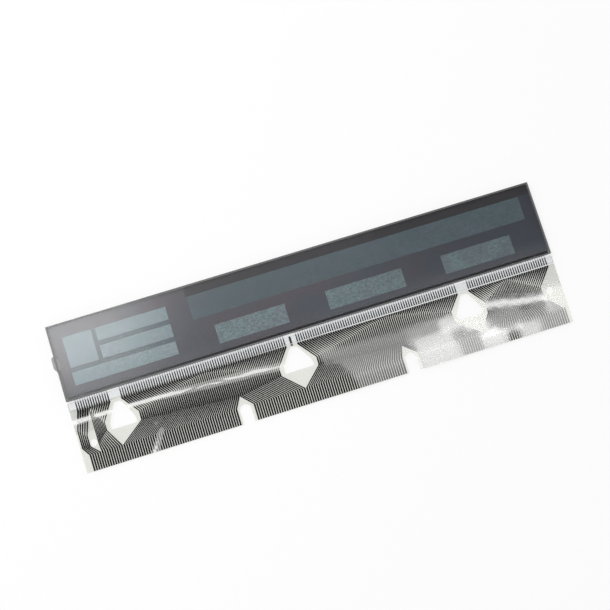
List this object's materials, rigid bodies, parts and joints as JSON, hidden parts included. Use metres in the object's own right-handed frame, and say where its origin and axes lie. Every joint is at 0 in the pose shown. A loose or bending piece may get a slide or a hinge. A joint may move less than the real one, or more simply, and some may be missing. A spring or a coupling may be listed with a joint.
{
  "type": "lcd screen",
  "caption": "Bare liquid crystal display glass with a dark face, paler fields and a clear ledge that carries a ribbon of black tracks with windows and slots.",
  "frame": {"origin": "middle of the panel's rear face, which is the underside of the transflector film", "axes": "+X along the panel to the right as its face is read, +Y towards its upper long edge, away from the ribbon, +Z out of its face"},
  "size_m": [0.1916, 0.0563, 0.0028],
  "materials": {
    "polarizer": "satin anti-glare film",
    "glass": "polished",
    "mask_ink": "matt print",
    "field": "patterned clear conductor over a mirror film",
    "electrode": "clear conductor",
    "fluid": "clear fluid",
    "seal_resin": "cured epoxy",
    "silver_paste": "conductive paste",
    "plug_resin": "cured resin",
    "transflector": "satin half-mirror film",
    "film": "clear polyester film, faintly yellow",
    "carbon_ink": "screen-printed carbon ink"
  },
  "bodies": {
    "root": {"front_polarizer": "polarizer", "rear_polarizer": "polarizer", "transflector": "transflector", "front_glass": "glass", "rear_glass": "glass", "black_mask": "mask_ink", "common_electrode": "electrode", "liquid_crystal": "fluid", "perimeter_seal": "seal_resin", "transfer_dot_left": "silver_paste", "transfer_dot_right": "silver_paste", "end_seal_plug": "plug_resin", "ribbon_film": "film", "ribbon_tracks": "carbon_ink", "index_mark": "carbon_ink", "field_square": "field", "field_upper_bar": "field", "field_middle_bar": "field", "field_lower_bar": "field", "field_long_bar": "field", "field_lower_left": "field", "field_lower_middle": "field", "field_lower_right": "field"}
  },
  "joints": []
}
